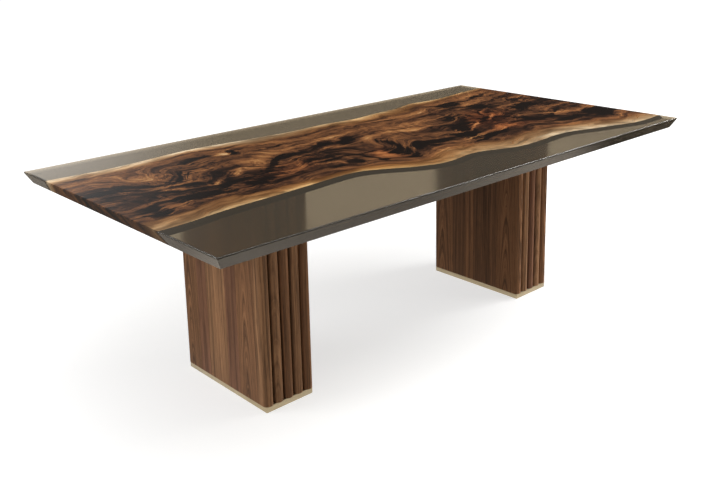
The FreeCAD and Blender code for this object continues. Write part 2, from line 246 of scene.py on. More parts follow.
reed = block_between("reed_left_front_1", reed_low, reed_high)
round_edges(reed, lambda ends: all(abs(end.y - reed_low.y) < 1e-5 for end in ends)
            and abs(ends[0].x - ends[1].x) < 1e-5)
reed.data.materials.append(leg_walnut)
reed_tones = ("tan", "brown", "tan", "dark", "brown", "plum", "tan", "plum", "tan", "dark", "brown", "plum")
reeds = []
for side in sides:
    for end in ("front", "rear"):
        for number in (1, 2, 3):
            node = "%s_%s_reed_%d" % (side, end, number)
            low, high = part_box(node)
            middle = (low + high) / 2
            turn = Matrix.Rotation(0.0 if end == "front" else math.pi, 4, "Z")
            home = Matrix.Translation(-(reed_low + reed_high) / 2)
            move = Matrix.Translation(middle) @ turn @ home
            name = "reed_%s_%s_%d" % (side, end, number)
            piece = reed if not reeds else copy_of(reed, name, move)
            figure_seed = 3.0 + len(reeds) * 1.37
            flat = 0.4 if len(reeds) % 3 == 0 else 0.0
            mark_board(piece, figure_seed, reed_tones[len(reeds)], 0, middle.x + reed_heart_offset, flat)
            reeds.append(piece)
            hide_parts(node)
            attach(piece, "table")

# Pedestal panels
# The broad faces are solid walnut staves glued edge to edge, six to a panel, sanded flush with a hairline
# at each joint, and their outer upright edges are planed to the same bullnose as the reeds.
stave_joint_shares = {"left": (-0.82, -0.40, -0.125, 0.35, 0.60),
                      "right": (-0.51, -0.25, 0.03, 0.23, 0.525)}
joint_arris = 0.0004
stave_heart_offset = 0.006
stave_tones = {
    "left_outer": ("tan", "brown", "plum", "tan", "plum", "brown"),
    "left_inner": ("brown", "plum", "brown", "dark", "tan", "brown"),
    "right_outer": ("brown", "dark", "tan", "plum", "brown", "brown"),
    # Mostly dark tones under the table: partly the boards' own colour, partly painted shade
    "right_inner": ("brown", "dark", "dark", "brown", "dark", "brown"),
}
flat_sawn_staves = {"left_outer": (1, 5), "left_inner": (2,), "right_outer": (0, 3), "right_inner": (0, 5)}
for panel_number, (panel_name, tones) in enumerate(stave_tones.items()):
    low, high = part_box(panel_name + "_panel")
    half_width = high.y
    shares = stave_joint_shares[panel_name.split("_")[0]]
    bounds_y = [-half_width] + [share * half_width for share in shares] + [half_width]
    staves = []
    for number, tone_name in enumerate(tones):
        stave_low = (low.x, bounds_y[number], low.z)
        stave_high = (high.x, bounds_y[number + 1], high.z)
        stave = block_between("stave", stave_low, stave_high)
        joints = [y for y in (bounds_y[number], bounds_y[number + 1]) if abs(y) < half_width]
        pick(stave, "EDGE", lambda ends: abs(ends[0].z - ends[1].z) > 0.1
             and any(abs(ends[0].y - y) < 1e-5 for y in joints))
        bpy.ops.mesh.bevel(offset=joint_arris, segments=1, affect="EDGES")
        bpy.ops.object.mode_set(mode="OBJECT")
        if number in (0, len(tones) - 1):
            edge_y = -half_width if number == 0 else half_width
            round_edges(stave, lambda ends: abs(ends[0].z - ends[1].z) > 0.1
                        and abs(ends[0].y - edge_y) < 1e-5 and abs(ends[1].y - edge_y) < 1e-5)
        flat = 0.85 if number in flat_sawn_staves[panel_name] else 0.0
        heart = (stave_low[1] + stave_high[1]) / 2 + stave_heart_offset
        figure_seed = 20.0 + panel_number * 9.1 + number * 1.21
        mark_board(stave, figure_seed, tone_name, 1, heart, flat)
        staves.append(stave)
    bpy.ops.object.select_all(action="DESELECT")
    for stave in staves:
        stave.select_set(True)
    bpy.context.view_layer.objects.active = staves[0]
    bpy.ops.object.join()
    panel = bpy.context.active_object
    panel.name = panel.data.name = "panel_" + panel_name
    panel.data.materials.append(leg_walnut)
    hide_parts(panel_name + "_panel")
    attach(panel, "table")

# Brass plinths
# Each pedestal stands on a frame of four flat brass bars, mitred at the corners, screwed up into the panels
# and brushed along their length to a satin finish. The wood stands slightly proud of it all round.
plinth_bar_width = 0.040
plinth_arris = 0.0010

# Brushed brass, satin: pale champagne metal with fine lines along the bars, drawn about 1 mm apart so that
# they show, and a faint cloudy patina.
plinth_brass, tree, shader = open_material("brushed_satin_brass")
place = add_node(tree, "TexCoord", out="Object")
brush = add_node(tree, "Mapping", {"Vector": place, "Scale": (8, 8, 900)})
brush_lines = add_node(tree, "TexNoise", {"Vector": brush, "Scale": 1.0, "Detail": 3.0})
clouds = add_node(tree, "TexNoise", {"Vector": place, "Scale": 14.0, "Detail": 3.0})
tone = add_node(tree, "Mix", {0: 0.35, 2: brush_lines, 3: clouds}, data_type="FLOAT")
colour = add_node(tree, "ValToRGB", {"Fac": tone}, stops=[(0.3, "#ad9c7c"), (0.7, "#c8b89a")])
rough = add_node(tree, "MapRange", {0: tone, 1: 0.3, 2: 0.7, 3: 0.34, 4: 0.46})
bump = add_node(tree, "Bump", {"Strength": 0.08, "Distance": 0.0002, "Height": brush_lines})
link_finish(tree, shader, colour, rough, bump)
shader.inputs["Metallic"].default_value = 1.0

plinth_low, plinth_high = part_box("left_plinth_frame")
bpy.ops.object.select_all(action="DESELECT")
plinth_middle = (plinth_low + plinth_high) / 2
plinth_size = plinth_high - plinth_low
bpy.ops.mesh.primitive_plane_add(size=1, location=(plinth_middle.x, plinth_middle.y, plinth_low.z))
plinth = bpy.context.active_object
plinth.scale = (plinth_size.x, plinth_size.y, 1)
bpy.ops.object.transform_apply(location=True, rotation=True, scale=True)
plinth.name = plinth.data.name = "plinth_left"
bpy.ops.object.mode_set(mode="EDIT")
bpy.ops.mesh.select_mode(type="FACE")
bpy.ops.mesh.select_all(action="SELECT")
bpy.ops.mesh.inset(thickness=plinth_bar_width)
bpy.ops.mesh.delete(type="FACE")
bpy.ops.mesh.select_all(action="SELECT")
bpy.ops.mesh.edge_split()
bpy.ops.mesh.select_all(action="SELECT")
bpy.ops.mesh.extrude_region_move(TRANSFORM_OT_translate={"value": (0, 0, plinth_size.z)})
bpy.ops.mesh.select_all(action="SELECT")
bpy.ops.mesh.normals_make_consistent(inside=False)
bpy.ops.mesh.bevel(offset=plinth_arris, segments=2, affect="EDGES")
bpy.ops.object.mode_set(mode="OBJECT")
bpy.ops.object.shade_smooth_by_angle(angle=math.radians(35))
plinth.data.materials.append(plinth_brass)
plinth_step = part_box("right_plinth_frame")[0] - plinth_low
plinths = {"left": plinth, "right": copy_of(plinth, "plinth_right", Matrix.Translation(plinth_step))}
for side, piece in plinths.items():
    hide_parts(side + "_plinth_frame")
    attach(piece, "table")

# Plinth screws and all other screws and bolts
# Countersunk wood screws hold the plinths and the mounting plates to the pedestals, and socket-head bolts
# hold the plates and the channels to the slab. All are steel, zinc plated in a barrel.
# Zinc plate, bright: blue-white metal with a faint patchy passivation and light tumbling marks.
zinc_steel, tree, shader = open_material("barrel_zinc_plated_steel")
place = add_node(tree, "TexCoord", out="Object")
patches = add_node(tree, "TexNoise", {"Vector": place, "Scale": 160.0, "Detail": 3.0})
colour = add_node(tree, "ValToRGB", {"Fac": patches}, stops=[(0.3, "#a9aeb2"), (0.7, "#cfd0cc")])
marks = add_node(tree, "TexNoise", {"Vector": place, "Scale": 900.0, "Detail": 2.0})
rough = add_node(tree, "MapRange", {0: marks, 1: 0.3, 2: 0.7, 3: 0.28, 4: 0.42})
link_finish(tree, shader, colour, rough)
shader.inputs["Metallic"].default_value = 1.0
refinish(["plinth_screws", "plate_screws", "plate_bolts", "channel_bolts"], zinc_steel)

# Levelling feet and threaded inserts
# Four feet in each plinth are wound down to level the table: a pad with a hexagon, moulded in black nylon,
# on a stud that turns in a brass insert of the bottom board. The bolts turn in like inserts in the slab.
# Moulded nylon: black, with the fine matt texture of its mould.
foot_nylon, tree, shader = open_material("moulded_black_nylon")
place = add_node(tree, "TexCoord", out="Object")
texture = add_node(tree, "TexNoise", {"Vector": place, "Scale": 700.0, "Detail": 3.0})
colour = add_node(tree, "ValToRGB", {"Fac": texture}, stops=[(0.3, "#232323"), (0.7, "#343434")])
rough = add_node(tree, "MapRange", {0: texture, 1: 0.3, 2: 0.7, 3: 0.45, 4: 0.6})
bump = add_node(tree, "Bump", {"Strength": 0.2, "Distance": 0.0001, "Height": texture})
link_finish(tree, shader, colour, rough, bump)
refinish([side + "_" + end + "_" + way + "_foot" for side in sides for end in ("front", "rear")
          for way in ("outer", "inner")], foot_nylon)

# Turned brass: yellow metal with fine tool rings about 0.4 mm apart.
insert_brass, tree, shader = open_material("turned_brass")
place = add_node(tree, "TexCoord", out="Object")
ring_at = add_node(tree, "Mapping", {"Vector": place, "Scale": (20, 20, 2500)})
tool_rings = add_node(tree, "TexNoise", {"Vector": ring_at, "Scale": 1.0, "Detail": 2.0})
colour = add_node(tree, "ValToRGB", {"Fac": tool_rings}, stops=[(0.3, "#b8994e"), (0.7, "#d6ba74")])
rough = add_node(tree, "MapRange", {0: tool_rings, 1: 0.3, 2: 0.7, 3: 0.25, 4: 0.4})
link_finish(tree, shader, colour, rough)
shader.inputs["Metallic"].default_value = 1.0
refinish(["foot_inserts", "plate_inserts", "channel_inserts"], insert_brass)

# Walnut slab
# One wide board of crotch walnut that keeps both of its natural edges, flattened, let into the resin and
# lacquered with it. Its ends run out in the bevels of the table's ends, where the end grain shows.
slab_low, slab_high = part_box("walnut_slab")
top_z = slab_high.z
thickness = top_z - slab_low.z
half_length = slab_high.x
edge_lip = 0.005
bevel_inset = 0.021
live_edge_flare = 0.026
live_edge_ripple = 0.0022
figure_width = 0.80
arris = 0.0035
bark_start = 0.0008
row_depths = [arris * (1 - math.cos(math.radians(turn))) for turn in (15, 30, 45, 60, 75, 90)]
row_depths += [edge_lip + share * (thickness - edge_lip) for share in (0.0, 0.2, 0.4, 0.6, 0.8, 1.0)]
slab_columns = 230
slab_lanes = 40
flat_rim = 0.0015


def edge_inset(depth):
    """How far the table's edge stands in at a depth below the top: rounded arris, upright lip, bevel."""
    if depth < arris:
        return arris - math.sqrt(max(0.0, arris ** 2 - (arris - depth) ** 2))
    return bevel_inset * max(0.0, depth - edge_lip) / (thickness - edge_lip)


rim = [corner.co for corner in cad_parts["walnut_slab"].data.vertices if corner.co.z > top_z - 1e-5]
front_rim = np.array(sorted((p.x, p.y) for p in rim if p.y < 0))
rear_rim = np.array(sorted((p.x, p.y) for p in rim if p.y > 0))


def live_edge(rim_points, way, x, depth):
    """Where a live edge runs at x and depth: it flares towards the underside and is slightly rippled."""
    at_top = np.interp(x, rim_points[:, 0], rim_points[:, 1])
    belly = math.sin(math.pi * depth / thickness)
    ripple = math.sin(41 * x + 1.3) * math.sin(17 * x) + 0.6 * math.sin(97 * x + 70 * depth)
    return at_top + way * (live_edge_flare * depth / thickness + live_edge_ripple * belly * ripple)


def narrow_rim(share, lanes, width):
    """Draws the line next to each border up to it, so that the rounding stays in the arris."""
    line = round(share * lanes)
    if line in (1, lanes - 1):
        return flat_rim / width if line == 1 else 1 - flat_rim / width
    return share


def layered_sheet(name, columns, lanes):
    """A fine flat grid, pulled down row by row to a closed slab of unit length and width."""
    bpy.ops.object.select_all(action="DESELECT")
    bpy.ops.mesh.primitive_grid_add(x_subdivisions=columns, y_subdivisions=lanes, size=1)
    piece = bpy.context.active_object
    piece.name = piece.data.name = name
    bpy.ops.object.mode_set(mode="EDIT")
    bpy.ops.mesh.select_all(action="SELECT")
    reached = 0.0
    for depth in row_depths:
        bpy.ops.mesh.extrude_region_move(TRANSFORM_OT_translate={"value": (0, 0, reached - depth)})
        reached = depth
    bpy.ops.mesh.select_all(action="SELECT")
    bpy.ops.mesh.normals_make_consistent(inside=False)
    bpy.ops.object.mode_set(mode="OBJECT")
    return piece


slab = layered_sheet("live_edge_slab", slab_columns, slab_lanes)

# The sapwood's width in metres along each natural edge, and how cream it is, both by x
front_sap_width = ((-1.15, 0.105), (-0.85, 0.105), (-0.60, 0.052), (-0.35, 0.045), (-0.22, 0.080),
                   (0.0, 0.090), (0.2, 0.125), (0.5, 0.120), (0.75, 0.115), (0.95, 0.095), (1.15, 0.080))
rear_sap_width = ((-1.15, 0.075), (-0.80, 0.060), (-0.55, 0.045), (-0.30, 0.085), (0.0, 0.060), (0.3, 0.09),
                  (0.5, 0.08), (0.75, 0.040), (1.15, 0.030))
front_sap_cream = ((-1.15, 0.45), (-0.85, 0.25), (-0.55, 0.10), (-0.25, 0.0), (0.0, 0.25), (0.25, 0.55),
                   (0.55, 0.9), (0.85, 1.0), (1.15, 0.7))
rear_sap_cream = ((-1.15, 1.5), (-0.75, 1.5), (-0.45, 1.3), (-0.1, 0.5), (0.3, 0.2), (1.15, 0.3))
grain = []
slab_marks = {"sap_front": [], "sap_rear": [], "sap_cream": [], "bark": [], "end_grain": []}
for corner in slab.data.vertices:
    u = narrow_rim(corner.co.x + 0.5, slab_columns, 2 * half_length) * 2 - 1
    v, depth = corner.co.y + 0.5, -corner.co.z
    x = u * (half_length - edge_inset(depth))
    front = live_edge(front_rim, -1, x, depth)
    rear = live_edge(rear_rim, 1, x, depth)
    corner.co = (x, front + (rear - front) * v, top_z - depth)
    at_edge = min(v, 1 - v) < 1e-4
    at_end = abs(u) > 0.9999
    grain += [x, (v - 0.5) * figure_width, corner.co.z]
    slab_marks["sap_front"].append(v * (rear - front) / np.interp(x, *zip(*front_sap_width)))
    slab_marks["sap_rear"].append((1 - v) * (rear - front) / np.interp(x, *zip(*rear_sap_width)))
    slab_marks["sap_cream"].append(np.interp(x, *zip(*(front_sap_cream if v < 0.5 else rear_sap_cream))))
    slab_marks["bark"].append(1.0 if at_edge and depth > bark_start else 0.0)
    slab_marks["end_grain"].append(1.0 if at_end and depth > bark_start else 0.0)
slab.data.attributes.new("grain", "FLOAT_VECTOR", "POINT").data.foreach_set("vector", grain)
for name, values in slab_marks.items():
    slab.data.attributes.new(name, "FLOAT", "POINT").data.foreach_set("value", values)
bpy.context.view_layer.objects.active = slab
bpy.ops.object.shade_smooth_by_angle(angle=math.radians(25))

# Crotch walnut under lacquer: growth lines that wander and wrap round knots, near-black pools between
# golden and red-brown flames, thin dark veins, and a band of cream sapwood along each natural edge.
slab_walnut, tree, shader = open_material("lacquered_crotch_walnut")
place = add_node(tree, "TexCoord", out="Object")
along = add_node(tree, "Attribute", out="Vector", attribute_name="grain")
from_front, from_rear, cream, barky, end_cut = (
    add_node(tree, "Attribute", out="Fac", attribute_name=name) for name in slab_marks)

# The wander of the grain, in four sizes: about 350, 110, 40 and 14 millimetres
wander = place
for size, reach in ((0.35, 0.15), (0.11, 0.085), (0.04, 0.028), (0.014, 0.007)):
    drift = add_node(tree, "TexNoise", {"Vector": wander, "Scale": 1 / size, "Detail": 1.5}, out="Color")
    centred = add_node(tree, "VectorMath", {0: drift, 1: (0.5, 0.5, 0.5)}, operation="SUBTRACT")
    wander = add_node(tree, "VectorMath", {0: centred, 1: (reach, reach, 0.0), 2: wander},
                      operation="MULTIPLY_ADD")
moved = add_node(tree, "VectorMath", {0: wander, 1: place}, operation="SUBTRACT")
bent = add_node(tree, "VectorMath", {0: moved, 1: along}, operation="ADD")
patch_depth = 9.0
middle_level = 0.40


def patch(at, size, turn, strength, inner, outer=1.2, feather=0.0):
    """How much an oval patch of the figure covers a point, from its strength in the middle to nothing."""
    inside = add_node(tree, "Mapping", {"Vector": wander, "Location": (*at, 0),
                                        "Rotation": (0, 0, math.radians(turn)),
                                        "Scale": (*size, patch_depth)}, vector_type="TEXTURE")
    reach = add_node(tree, "VectorMath", {0: inside}, out="Value", operation="LENGTH")
    reach = add_node(tree, "Math", {0: reach, 1: feather}, operation="ADD")
    return add_node(tree, "MapRange", {0: reach, 1: inner, 2: outer, 3: strength, 4: 0.0},
                    interpolation_type="SMOOTHSTEP")


def total(values):
    """The sum of several values."""
    result = values[0]
    for value in values[1:]:
        result = add_node(tree, "Math", {0: result, 1: value}, operation="ADD")
    return result


# Knots, which push the growth lines round them: place, half sizes, turn in degrees, push
knots = total([patch(at, size, turn, push, inner=0.0) for at, size, turn, push in (
    ((-0.93, 0.17), (0.15, 0.14), 20, 0.16), ((-0.57, 0.28), (0.09, 0.08), 0, 0.07),
    ((-0.80, 0.02), (0.16, 0.10), 10, 0.10), ((0.66, 0.0), (0.20, 0.12), 35, 0.12),
    ((0.79, -0.11), (0.11, 0.09), 0, -0.10), ((-0.08, -0.10), (0.12, 0.18), -25, 0.12),
    ((-0.42, 0.06), (0.30, 0.16), 40, 0.12), ((-0.28, -0.15), (0.15, 0.07), 0, 0.07),
    ((0.95, 0.02), (0.14, 0.12), -20, -0.08),
)])
bent_x, bent_y, bent_z = (add_node(tree, "SeparateXYZ", {0: bent}, out=axis) for axis in "XYZ")
ring = add_node(tree, "Math", {0: bent_y, 1: knots}, operation="ADD")
ring_point = add_node(tree, "CombineXYZ", {"X": bent_x, "Y": ring, "Z": bent_z})

# Growth lines about 45, 9 and 3 mm apart
broad_at = add_node(tree, "Mapping", {"Vector": ring_point, "Scale": (2.4, 22, 6)})
broad = add_node(tree, "TexNoise", {"Vector": broad_at, "Scale": 1.0, "Detail": 4.0, "Roughness": 0.6})
fine_at = add_node(tree, "Mapping", {"Vector": ring_point, "Scale": (7, 110, 20)})
fine = add_node(tree, "TexNoise", {"Vector": fine_at, "Scale": 1.0, "Detail": 3.0, "Roughness": 0.6})
hair_at = add_node(tree, "Mapping", {"Vector": ring_point, "Scale": (18, 330, 60)})
hair = add_node(tree, "TexNoise", {"Vector": hair_at, "Scale": 1.0, "Detail": 2.0})

# Veins: thin dark lines that curl like contours, about 75 mm apart, in the burry parts of the board
curl = add_node(tree, "TexNoise", {"Vector": wander, "Scale": 13.0, "Detail": 2.5, "Distortion": 1.2})
off_line = add_node(tree, "Math", {0: curl, 1: 0.5}, operation="SUBTRACT")
off_size = add_node(tree, "Math", {0: off_line}, operation="ABSOLUTE")
vein_line = add_node(tree, "MapRange", {0: off_size, 1: 0.0, 2: 0.045, 3: 1.0, 4: 0.0},
                     interpolation_type="SMOOTHSTEP")
burry = total([patch(at, size, turn, strength, inner=0.5, outer=1.3) for at, size, turn, strength in (
    ((-0.80, 0.02), (0.36, 0.24), 0, 0.26), ((0.78, -0.04), (0.36, 0.24), 0, 0.24),
    ((-0.20, 0.05), (0.26, 0.20), 0, 0.14),
)])
veins = add_node(tree, "Math", {0: vein_line, 1: burry}, operation="MULTIPLY")

# Near-black pools, feathered along the growth lines: place, half sizes, turn in degrees, strength
broad_feather = add_node(tree, "Math", {0: broad, 1: 2.6, 2: -1.3}, operation="MULTIPLY_ADD")
fine_feather = add_node(tree, "Math", {0: fine, 1: 1.6, 2: -0.8}, operation="MULTIPLY_ADD")
feathers = total([broad_feather, fine_feather])
pools = total([patch(at, size, turn, strength, inner=0.60, outer=1.15, feather=feathers)
               for at, size, turn, strength in (
    ((-1.08, 0.11), (0.09, 0.05), -10, 0.50), ((-0.99, 0.07), (0.06, 0.05), -30, 0.26),
    ((-1.05, -0.15), (0.045, 0.07), -20, 0.55), ((-0.86, -0.11), (0.13, 0.045), 0, 0.50),
    ((-0.70, -0.05), (0.10, 0.026), 12, 0.56), ((-0.625, -0.108), (0.070, 0.036), 12, 0.60),
    ((-0.47, 0.055), (0.16, 0.016), 41, 0.50), ((-0.65, 0.28), (0.06, 0.032), 20, 0.45),
    ((-0.51, 0.30), (0.028, 0.065), -25, 0.50), ((-0.79, 0.14), (0.10, 0.018), 25, 0.35),
    ((-0.84, 0.045), (0.055, 0.022), -10, 0.45), ((-0.275, 0.035), (0.14, 0.10), 10, 0.20),
    ((-0.22, -0.054), (0.15, 0.018), 0, 0.30), ((-0.29, -0.14), (0.12, 0.02), 8, 0.32),
    ((-0.16, -0.15), (0.013, 0.09), 8, 0.45), ((-0.035, -0.135), (0.04, 0.10), -32, 0.60),
    ((0.02, -0.05), (0.022, 0.06), 0, 0.50), ((0.13, -0.146), (0.12, 0.032), -4, 0.62),
    ((-0.075, 0.125), (0.035, 0.07), -30, 0.50), ((-0.17, 0.165), (0.05, 0.032), 20, 0.32),
    ((-0.33, 0.26), (0.10, 0.013), 12, 0.40), ((0.325, -0.19), (0.055, 0.065), 0, 0.62),
    ((0.41, -0.235), (0.09, 0.028), 12, 0.52), ((0.40, -0.09), (0.11, 0.035), 50, 0.42),
    ((0.48, 0.04), (0.12, 0.07), 40, 0.30), ((0.585, -0.035), (0.065, 0.02), 25, 0.50),
    ((0.67, 0.055), (0.09, 0.010), 38, 0.36), ((0.725, 0.29), (0.08, 0.075), 0, 0.58),
    ((0.79, 0.18), (0.06, 0.08), 30, 0.34), ((0.97, 0.35), (0.12, 0.022), 6, 0.42),
    ((0.93, 0.075), (0.10, 0.045), 20, 0.46), ((0.71, -0.11), (0.022, 0.06), 15, 0.48),
    ((0.85, -0.165), (0.08, 0.024), 35, 0.46), ((0.97, -0.085), (0.07, 0.04), 25, 0.34),
    ((1.06, -0.265), (0.09, 0.075), -15, 0.56), ((0.83, -0.265), (0.13, 0.022), -5, 0.42),
    ((1.05, 0.22), (0.14, 0.10), 0, 0.16), ((0.78, 0.08), (0.42, 0.26), 0, 0.09),
    ((-0.85, -0.03), (0.34, 0.16), 0, 0.07),
)])

# Golden and tan flames, and the cream knot, given in the same way
flames = total([patch(at, size, turn, strength, inner=0.2) for at, size, turn, strength in (
    ((-0.93, 0.03), (0.10, 0.028), -35, 0.30), ((-0.75, 0.0), (0.035, 0.025), 30, 0.42),
    ((-0.645, 0.06), (0.035, 0.055), -20, 0.36), ((-0.51, 0.11), (0.13, 0.07), 30, 0.20),
    ((-0.48, -0.05), (0.09, 0.05), 25, 0.28), ((-0.90, 0.19), (0.09, 0.06), 10, 0.22),
    ((-0.571, 0.287), (0.036, 0.030), 20, 0.54), ((-0.10, -0.12), (0.04, 0.085), -20, 0.32),
    ((0.0, 0.06), (0.04, 0.10), -30, 0.26), ((0.23, 0.09), (0.15, 0.13), 0, 0.10),
    ((0.40, 0.28), (0.24, 0.06), 0, 0.22), ((0.11, -0.265), (0.16, 0.05), 0, 0.30),
    ((0.485, -0.068), (0.075, 0.012), 42, 0.52), ((0.64, -0.02), (0.10, 0.016), 40, 0.40),
    ((0.72, 0.085), (0.09, 0.018), 40, 0.36), ((0.56, -0.18), (0.10, 0.05), 5, 0.20),
    ((0.78, -0.10), (0.05, 0.035), -10, 0.22), ((1.12, -0.10), (0.04, 0.10), 0, 0.06),
    ((-0.40, 0.18), (0.20, 0.05), 25, 0.12),
)])

# Cross ripple in the tan middle, about 45 mm apart
ripple = add_node(tree, "TexWave", {"Vector": wander, "Scale": 7.0, "Distortion": 1.5, "Detail": 2.0},
                  out="Fac", bands_direction="X")
ripple_patch = patch((0.22, 0.08), (0.17, 0.12), 0, 0.14, inner=0.3)
rippled = add_node(tree, "Math", {0: ripple, 1: ripple_patch}, operation="MULTIPLY")

# The heartwood: growth lines, flames and ripple, less the pools and veins, which a swirl about 40 mm wide
# breaks up
broad_part = add_node(tree, "Math", {0: broad, 1: 1.25, 2: -0.625}, operation="MULTIPLY_ADD")
fine_part = add_node(tree, "Math", {0: fine, 1: 0.62, 2: -0.31}, operation="MULTIPLY_ADD")
hair_part = add_node(tree, "Math", {0: hair, 1: 0.34, 2: -0.17}, operation="MULTIPLY_ADD")
dark_part = total([pools, veins])
swirl = add_node(tree, "TexNoise", {"Vector": wander, "Scale": 24.0, "Detail": 4.0, "Roughness": 0.62,
                                    "Distortion": 1.0})
mottle = add_node(tree, "MapRange", {0: swirl, 1: 0.35, 2: 0.62, 3: 1.2, 4: 0.65})
dark_broken = add_node(tree, "Math", {0: dark_part, 1: mottle}, operation="MULTIPLY")
swirl_part = add_node(tree, "Math", {0: swirl, 1: 0.55, 2: -0.275}, operation="MULTIPLY_ADD")
lines = total([broad_part, fine_part, hair_part, flames, rippled, swirl_part])
figure = add_node(tree, "Math", {0: lines, 1: dark_broken}, operation="SUBTRACT")
level = add_node(tree, "Math", {0: figure, 1: middle_level}, operation="ADD")
heart = add_node(tree, "ValToRGB", {"Fac": level},
                 stops=[(0.0, "#150e0a"), (0.18, "#20140d"), (0.32, "#3b2519"), (0.48, "#623f26"),
                        (0.62, "#835532"), (0.78, "#a67646"), (1.0, "#c7a274")])

# Red-brown flushes, given in the same way
flush = total([patch(at, size, turn, strength, inner=0.2) for at, size, turn, strength in (
    ((0.60, -0.03), (0.26, 0.13), 30, 0.55), ((-0.09, -0.12), (0.07, 0.12), -20, 0.45),
    ((0.60, -0.20), (0.20, 0.07), 0, 0.40), ((-0.50, -0.05), (0.25, 0.10), 20, 0.25),
)])
reddened = add_node(tree, "Mix", {0: flush, 6: heart, 7: linear("#ffc0a4")}, out=2, data_type="RGBA",
                    blend_type="MULTIPLY")

# Sapwood: cream at the natural edge, turning golden and orange towards the heartwood, with fine lines in
# it, broad darker bands and a frayed border
sap_near = add_node(tree, "Math", {0: from_front, 1: from_rear}, operation="MINIMUM")
fray_at = add_node(tree, "Mapping", {"Vector": ring_point, "Scale": (7, 26, 6)})
fray = add_node(tree, "TexNoise", {"Vector": fray_at, "Scale": 1.0, "Detail": 3.0})
frayed = add_node(tree, "Math", {0: fray, 1: 1.1, 2: -0.55}, operation="MULTIPLY_ADD")
sap_streak = add_node(tree, "Math", {0: fine, 1: 0.9, 2: -0.45}, operation="MULTIPLY_ADD")
sap_edge = total([sap_near, frayed, sap_streak])
sap_golden = add_node(tree, "ValToRGB", {"Fac": sap_edge},
                      stops=[(0.0, "#c9a068"), (0.14, "#b48650"), (0.30, "#9d6d3c"), (0.65, "#7c5029"),
                             (1.0, "#5c3719")])
sap_pale = add_node(tree, "ValToRGB", {"Fac": sap_edge},
                    stops=[(0.0, "#bda88a"), (0.14, "#ab9376"), (0.30, "#a08564"), (0.65, "#8a6745"),
                           (1.0, "#654124")])
sap_wood = add_node(tree, "Mix", {0: cream, 6: sap_golden, 7: sap_pale}, out=2, data_type="RGBA")
sap_line = add_node(tree, "MapRange", {0: fine, 1: 0.36, 2: 0.64, 3: 0.48, 4: 1.12})
sap_bright = add_node(tree, "MapRange", {0: cream, 1: 1.0, 2: 1.5, 3: 1.0, 4: 1.88})
sap_line = add_node(tree, "Math", {0: sap_line, 1: sap_bright}, operation="MULTIPLY")
sap_band = add_node(tree, "MapRange", {0: fray, 1: 0.38, 2: 0.62, 3: 1.22, 4: 0.74})
sap_line = add_node(tree, "Math", {0: sap_line, 1: sap_band}, operation="MULTIPLY")
sap_lined = add_node(tree, "VectorMath", {0: sap_wood, "Scale": sap_line}, operation="SCALE")
sap_mask = add_node(tree, "MapRange", {0: sap_edge, 1: 0.76, 2: 1.06, 3: 1.0, 4: 0.0},
                    interpolation_type="SMOOTHSTEP")
board = add_node(tree, "Mix", {0: sap_mask, 6: reddened, 7: sap_lined}, out=2, data_type="RGBA")

# The natural edge itself, brown where the bark came away
colour = add_node(tree, "Mix", {0: barky, 6: board, 7: linear("#241810")}, out=2, data_type="RGBA")

# End grain, which soaks up the lacquer and stays darker and duller
soaked = add_node(tree, "MapRange", {0: end_cut, 1: 0.0, 2: 1.0, 3: 1.0, 4: 0.42})
colour = add_node(tree, "VectorMath", {0: colour, "Scale": soaked}, operation="SCALE")
rough = add_node(tree, "MapRange", {0: fine, 1: 0.3, 2: 0.7, 3: 0.34, 4: 0.26})
sawn = add_node(tree, "Math", {0: end_cut, 1: 0.7}, operation="MULTIPLY")
rough = add_node(tree, "Math", {0: rough, 1: sawn}, operation="MAXIMUM")
link_finish(tree, shader, colour, rough)
shader.inputs["Specular IOR Level"].default_value = 0.25
slab.data.materials.append(slab_walnut)

# Pockets in the underside for the mounting plates and the channels, routed with a small clearance
pockets = [("left_mounting_plate", 0.001), ("right_mounting_plate", 0.001), ("left_end_channel", 0.0005),
           ("middle_channel", 0.0005), ("right_end_channel", 0.0005)]
cutter_reach = 0.01
for node, clearance in pockets:
    low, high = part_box(node)
    room = Vector((clearance, clearance, clearance))
    start = (low.x - clearance, low.y - clearance, slab_low.z - cutter_reach)
    cutter = block_between("router_" + node, start, high + room)
    cut = slab.modifiers.new("pocket", "BOOLEAN")
    cut.operation = "DIFFERENCE"
    cut.object = cutter
    cut.solver = "EXACT"
    bpy.ops.object.select_all(action="DESELECT")
    slab.select_set(True)
    bpy.context.view_layer.objects.active = slab
    bpy.ops.object.modifier_apply(modifier="pocket")
    bpy.data.objects.remove(cutter)
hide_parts("walnut_slab")
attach(slab, "table")

# Resin strips
# Clear smoke-brown epoxy, cast against the slab's two natural edges to make the top up to a rectangle. Its
# top and bevel are polished, its arris is buffed and its underside is only sanded, so that the legs and
# the floor show softly through it.
half_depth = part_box("front_resin")[0].y
resin_lanes = 14
resin_width = 0.15
bite = 0.006
underside_haze = 0.14
edge_haze = 0.25

# Cast epoxy, polished: clear gloss with a smoke-brown tint that deepens with thickness and a faint haze.
smoke_resin, tree, shader = open_material("smoke_tinted_cast_epoxy")
place = add_node(tree, "TexCoord", out="Object")
polish = add_node(tree, "TexNoise", {"Vector": place, "Scale": 9.0, "Detail": 2.0})
rough = add_node(tree, "MapRange", {0: polish, 1: 0.3, 2: 0.7, 3: 0.015, 4: 0.035})
height = add_node(tree, "SeparateXYZ", {0: place}, out="Z")
sanded = add_node(tree, "MapRange", {0: height, 1: slab_low.z + 0.0002, 2: slab_low.z + 0.0008,
                                     3: underside_haze, 4: 0.0})
buffed = add_node(tree, "MapRange", {0: height, 1: top_z - 0.0004, 2: top_z - 0.0001, 3: edge_haze, 4: 0.0})
above_bevel = add_node(tree, "Math", {0: height, 1: top_z - edge_lip}, operation="GREATER_THAN")
buffed = add_node(tree, "Math", {0: buffed, 1: above_bevel}, operation="MULTIPLY")
